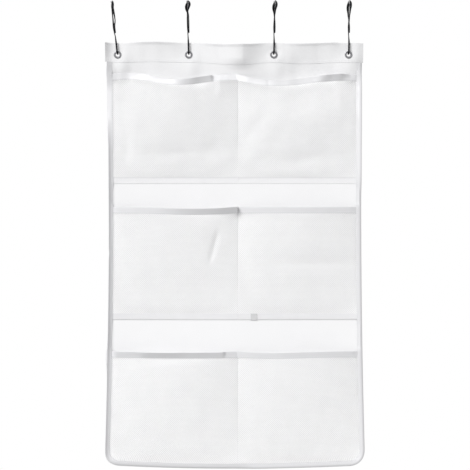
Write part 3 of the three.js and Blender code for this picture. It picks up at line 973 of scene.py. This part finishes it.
header_line = spaced(-HEADER_WIDTH / 2 + HEADER_SEWN_IN, HEADER_WIDTH / 2 - HEADER_SEWN_IN)
header_sewn = HEADER_DEPTH - HEADER_SEWN_IN
header_face = header_leaf(header_sewn) + CLOTH / 2
edge_line = spaced(-BINDING_HALF + SEWN_IN, BINDING_HALF - SEWN_IN) / BINDING_HALF
edge_across, edge_depth = edge_place(edge_line, BINDING_WIDTH - SEWN_IN)
front_face = TAPE_FRONT + SATIN_THICKNESS / 2 - tape_pressed(edge_depth, BINDING_WIDTH - SEWN_IN)
back_face = -TAPE_BACK - SATIN_THICKNESS / 2
for side, forward, face in (("front", header_face, front_face), ("back", -header_face, back_face)):
    sewn_line(f"header_sewing_{side}", hang(header_line, header_sewn, forward))
    sewn_line(f"binding_sewing_{side}", hang(edge_across, edge_depth, face))

row_line = spaced(-ROW_HALF, ROW_HALF - ROW_SHORT) / ROW_HALF
back_line = CENTRE_SEAM + row_line * (WAIST_WIDTH / 2 - BINDING_WIDTH)
for row in ROWS:
    ribbon_edge = row.mouth + RIBBON_FLAT
    ribbon_face = CLOTH + LAYER - RIBBON_SEWN_PRESS
    ribbon_line = hang_pocket(row, row_line, ribbon_edge - RIBBON_SEWN_IN, ribbon_face)
    sewn_line(f"ribbon_sewing_{row.name}", ribbon_line)
    if not row.bound:
        sewn_line(f"foot_sewing_{row.name}", hang_pocket(row, row_line, row.seam, CLOTH))
        sewn_line(f"foot_sewing_back_{row.name}", hang(back_line, row.seam, -PANEL_FACE))
    down = spaced(row.mouth + SEWN_IN, row.seam)
    cover = np.where(down < ribbon_edge, CLOTH + LAYER, CLOTH)
    sewn_line(f"centre_sewing_{row.name}", hang_pocket(row, 0, down, cover))
back_down = spaced(ROWS[0].mouth, ROWS[-1].seam)
sewn_line("centre_sewing_back", hang(CENTRE_SEAM, back_down, -PANEL_FACE))


# Metal pieces
def arc(middle, radius, start, end, steps):
    """Points of an arc in a turned profile, as distance from the axis and place along Y."""
    angles = np.radians(np.linspace(start, end, steps))
    return [(middle[0] + radius * math.cos(a), middle[1] + radius * math.sin(a)) for a in angles]


def turned(name, profile, across):
    """A closed profile spun round an eyelet's axis."""
    centre = Vector((across, 0, PANEL_TOP - EYELET_DEPTH))
    shape = bmesh.new()
    ring = [shape.verts.new((centre + Vector((radius, y, 0))) * MM) for radius, y in profile]
    edges = [shape.edges.new(pair) for pair in zip(ring, ring[1:] + ring[:1])]
    bmesh.ops.spin(
        shape, geom=ring + edges, cent=centre * MM, axis=(0, 1, 0), angle=math.tau, steps=64, use_merge=True
    )
    bmesh.ops.recalc_face_normals(shape, faces=shape.faces)
    piece = mesh_object(name, shape)
    piece.data.shade_smooth()
    piece.data.set_sharp_from_angle(angle=math.radians(55))
    return piece


eyelet_low, eyelet_high = node_box("grommet_1")
washer_low, washer_high = node_box("grommet_washer_1")
FLANGE_RADIUS = (eyelet_high.x - eyelet_low.x) / 2
WASHER_RADIUS = (washer_high.x - washer_low.x) / 2
FLANGE_THICKNESS = 0.9
FLANGE_TRIM = 0.1
LIP_WIDTH = 1.3

flange_front = eyelet_low.y
flange_back = flange_front + FLANGE_THICKNESS
barrel = EYELET_HOLE + EYELET_WALL
lip_front = eyelet_high.y - EYELET_WALL
lip_end = (barrel + LIP_WIDTH - EYELET_WALL / 2, lip_front + EYELET_WALL / 2)
rim = FLANGE_THICKNESS / 2
EYELET_PROFILE = [
    *arc((EYELET_HOLE + rim, flange_front + rim), rim, 180, 265, 6),
    *arc((FLANGE_RADIUS - rim, flange_front + rim), rim, 275, 360, 6),
    (FLANGE_RADIUS - FLANGE_TRIM, flange_back),
    (barrel, flange_back),
    (barrel, lip_front),
    *arc(lip_end, EYELET_WALL / 2, -90, 90, 6),
    *arc((barrel, lip_front), EYELET_WALL, 90, 180, 6),
]
round_edge = 0.2
WASHER_PROFILE = [
    *arc((WASHER_RADIUS - round_edge, washer_low.y + round_edge), round_edge, -90, 0, 4),
    *arc((WASHER_RADIUS - round_edge, washer_high.y - round_edge), round_edge, 0, 90, 4),
    (barrel + SEAM_GAP, washer_high.y),
    (barrel + SEAM_GAP, washer_low.y),
]

# Hook sizes. Heights are measured up from the pivot in the eyelet, and leans and turns are in degrees
WIRE_RADIUS = 1.3
JAW_RUN = max(-eyelet_low.y, eyelet_high.y)
JAW_BEND = 3.2
TIP_HEIGHT = 15
STEM_TOP = 18
CLASP_END = 32.3
CLASP_TOP = 41.3
CLASP_OFFSET = 0.6
CLASP_GAP = 0.35
LOOP_RADIUS = 15.5
LOOP_CENTRE = 64.26
LOOP_START = 225
LOOP_TURN = 270
LOOP_STEPS = 24
HOOK_LENGTH = LOOP_CENTRE + LOOP_RADIUS
HOOK_LEANS = (-6, -1.1, 1.4, 1)
HOOK_TWISTS = (1.4, 2.9, 1.8, 1)
TWIST_LENGTH = 18
TWIST_SKEW = 0.6
TWIST_SHARPNESS = 1.6
HOOK_JOGS = (-1.4, 0, 0, 0)
JOG_HEIGHT = 38
JOG_SPREAD = 5
# A wire's rounded end: how far back from the end, and the share of the full radius there
ROUND_TIP = ((0, 0.1), (0.35, 0.7), (1.3, 1))
# How much the wire thins in the stem and the neck and thickens at the crown, and between which heights
STEM_THINNING = 0.4
STEM_START = (STEM_TOP + 2, STEM_TOP + 7)
STEM_END = (CLASP_END + 4, CLASP_END)
NECK_THINNING = 0.35
NECK_HEIGHT = CLASP_TOP + 15
NECK_SPREAD = 3
CROWN_THICKENING = 0.6
CROWN_RISE = (LOOP_CENTRE, LOOP_CENTRE + 8)
WELD = 0.001


def loop_offset(height, twist):
    """How far the loop's front and back wires stand to the side below its top."""
    drop = HOOK_LENGTH - height
    if drop < TWIST_LENGTH:
        return twist * math.sin(math.pi * (drop / TWIST_LENGTH) ** TWIST_SKEW) ** TWIST_SHARPNESS
    settle_in = min(2 * (drop - TWIST_LENGTH) / TWIST_LENGTH, 1)
    return -CLASP_OFFSET * math.sin(settle_in * math.pi / 2)


def wire_share(height):
    """The wire's thickness by height: thin in the stem and under the loop, thick at the loop's top."""
    stem = smooth_step(*STEM_START, height) * smooth_step(*STEM_END, height)
    neck = hump(height, NECK_HEIGHT, NECK_SPREAD)
    crown = smooth_step(*CROWN_RISE, height)
    return 1 - STEM_THINNING * stem - NECK_THINNING * neck + CROWN_THICKENING * crown


def hook_route(twist):
    """A hook's wire from its tip behind the header, through the eyelet, up the stem and round the rod
    loop to its sprung end, each point with the share of the full wire radius it keeps."""
    reach = JAW_RUN + JAW_BEND
    clasp = WIRE_RADIUS + CLASP_GAP / 2
    route = [(0, reach, TIP_HEIGHT - back, share) for back, share in ROUND_TIP]
    route.append((0, reach, (JAW_BEND + TIP_HEIGHT) / 2, 1))
    bends = [(1, turn) for turn in (0, 30, 60, 90)] + [(-1, turn) for turn in (90, 60, 30, 0)]
    for side, turn in bends:
        angle = math.radians(turn)
        bend = side * (JAW_RUN + JAW_BEND * math.cos(angle))
        route.append((0, bend, JAW_BEND * (1 - math.sin(angle)), 1))
    route.append((0, -reach, (JAW_BEND + STEM_TOP) / 2, 1))
    for rise in (0, 0.35, 0.65, 1):
        height = STEM_TOP + rise * (CLASP_END - STEM_TOP)
        route.append((-CLASP_OFFSET * rise, -reach + rise * (reach - clasp), height, wire_share(height)))
    route.append((-CLASP_OFFSET, -clasp, CLASP_TOP, 1))
    for step in range(LOOP_STEPS + 1):
        angle = math.radians(LOOP_START - LOOP_TURN * step / LOOP_STEPS)
        share = wire_share(LOOP_CENTRE + LOOP_RADIUS * math.sin(angle))
        radius = LOOP_RADIUS + max(share - 1, 0) * WIRE_RADIUS
        height = LOOP_CENTRE + radius * math.sin(angle)
        side = (step < LOOP_STEPS / 2) - (step > LOOP_STEPS / 2)
        offset = side * loop_offset(min(height, HOOK_LENGTH), twist)
        route.append((offset, radius * math.cos(angle), height, share))
    route.append((CLASP_OFFSET, clasp, CLASP_TOP, 1))
    route += [(CLASP_OFFSET, clasp, CLASP_END + back, share) for back, share in reversed(ROUND_TIP)]
    return route


def wire_hook(number):
    """A hook of round wire: a smooth line through its route, made a mesh and leaned at its pivot."""
    line = bpy.data.curves.new(f"hook_line_{number}", "CURVE")
    line.dimensions = "3D"
    line.bevel_depth = WIRE_RADIUS * MM
    line.bevel_resolution = 4
    line.resolution_u = 6
    line.use_fill_caps = True
    spline = line.splines.new("BEZIER")
    route = hook_route(HOOK_TWISTS[number - 1])
    spline.bezier_points.add(len(route) - 1)
    for point, (x, y, z, share) in zip(spline.bezier_points, route):
        jog = HOOK_JOGS[number - 1] * hump(z, JOG_HEIGHT, JOG_SPREAD)
        point.co = Vector((x + jog, y, z)) * MM
        point.radius = share
        point.handle_left_type = point.handle_right_type = "AUTO"
    carrier = bpy.data.objects.new(f"hook_line_{number}", line)
    bpy.context.scene.collection.objects.link(carrier)
    shape = bmesh.new()
    shape.from_mesh(baked(carrier))
    bpy.data.objects.remove(carrier)
    bmesh.ops.remove_doubles(shape, verts=shape.verts, dist=WELD * MM)
    bmesh.ops.recalc_face_normals(shape, faces=shape.faces)
    lean = Matrix.Rotation(math.radians(HOOK_LEANS[number - 1]), 4, "Y")
    hung = Matrix.Translation(PIVOTS[number - 1] * MM) @ lean
    bmesh.ops.transform(shape, matrix=hung, verts=shape.verts)
    hook = mesh_object(f"wire_hook_{number}", shape)
    hook.data.shade_smooth()
    return hook


for number, across in enumerate(EYELETS, start=1):
    eyelet = turned(f"eyelet_{number}", EYELET_PROFILE, across)
    dress(eyelet, "caddy", NICKEL_PAINTED_SHADE, "nickel", f"grommet_{number}")
    washer = turned(f"eyelet_washer_{number}", WASHER_PROFILE, across)
    dress(washer, "caddy", NICKEL_PAINTED_SHADE, "nickel", f"grommet_washer_{number}")
    hook = wire_hook(number)
    dress(hook, f"hook_{number}", BLACK_NICKEL, "dark_wire", f"hook_{number}")


# Stage, light and camera, in metres
MIDDLE = Vector((0.0008, 0, -0.3574))
FLOOR_HEIGHT = -1.4
FLOOR_REACH = 2.8
LIGHT_AWAY = 3
CAMERA_AWAY = 1.9
AMBIENT = 0.42


def aim(item, place, target):
    """Stands a light or the camera at a place, turned to a target."""
    item.location = place
    item.rotation_euler = (Vector(target) - Vector(place)).to_track_quat("-Z", "Y").to_euler()
    bpy.context.scene.collection.objects.link(item)


def far_light(name, strength, spread, azimuth, elevation):
    """A broad soft light far off, turned left from the front and raised by degrees."""
    light = bpy.data.lights.new(name, "SUN")
    light.energy = strength
    light.angle = math.radians(spread)
    side, height = math.radians(azimuth), math.radians(elevation)
    level = math.cos(height)
    towards = Vector((-math.sin(side) * level, -math.cos(side) * level, math.sin(height)))
    aim(bpy.data.objects.new(name, light), MIDDLE + LIGHT_AWAY * towards, MIDDLE)


floor_material, add = new_material("pale_floor")
matt = add("ShaderNodeBsdfPrincipled", inputs={"Base Color": linear("#cccccc"), "Roughness": 0.9})
add("ShaderNodeOutputMaterial", inputs={"Surface": matt.outputs[0]})
floor_shape = bmesh.new()
bmesh.ops.create_grid(floor_shape, x_segments=1, y_segments=1, size=FLOOR_REACH)
bmesh.ops.translate(floor_shape, verts=floor_shape.verts, vec=(0, 0, FLOOR_HEIGHT))
floor = mesh_object("floor", floor_shape)
floor.data.materials.append(floor_material)

# The studio is seen as plain white, and lights the cloth less than that
world = bpy.data.worlds.new("studio")
bpy.context.scene.world = world
world.use_nodes = True
world.node_tree.nodes.clear()
add = partial(add_node, world.node_tree)
rays = add("ShaderNodeLightPath")
backdrop = rays.outputs["Is Camera Ray"]
for kind in ("Is Glossy Ray", "Is Transmission Ray"):
    either = add("ShaderNodeMath", {"operation": "MAXIMUM"}, {0: backdrop, 1: rays.outputs[kind]})
    backdrop = either.outputs[0]
strength = add("ShaderNodeMapRange", inputs={"Value": backdrop, "To Min": AMBIENT, "To Max": 1})
sky = add("ShaderNodeBackground", inputs={"Color": linear("#ffffff"), "Strength": strength.outputs[0]})
add("ShaderNodeOutputWorld", inputs={"Surface": sky.outputs[0]})

far_light("key_light", strength=2.7, spread=30, azimuth=28, elevation=30)
far_light("back_light", strength=1.4, spread=40, azimuth=150, elevation=35)

camera = bpy.data.cameras.new("camera")
camera.lens = 94.5
camera.sensor_width = 36
camera_object = bpy.data.objects.new("camera", camera)
aim(camera_object, MIDDLE + Vector((0, -CAMERA_AWAY, 0)), MIDDLE)
bpy.context.scene.camera = camera_object
bpy.context.scene.view_settings.view_transform = "Standard"
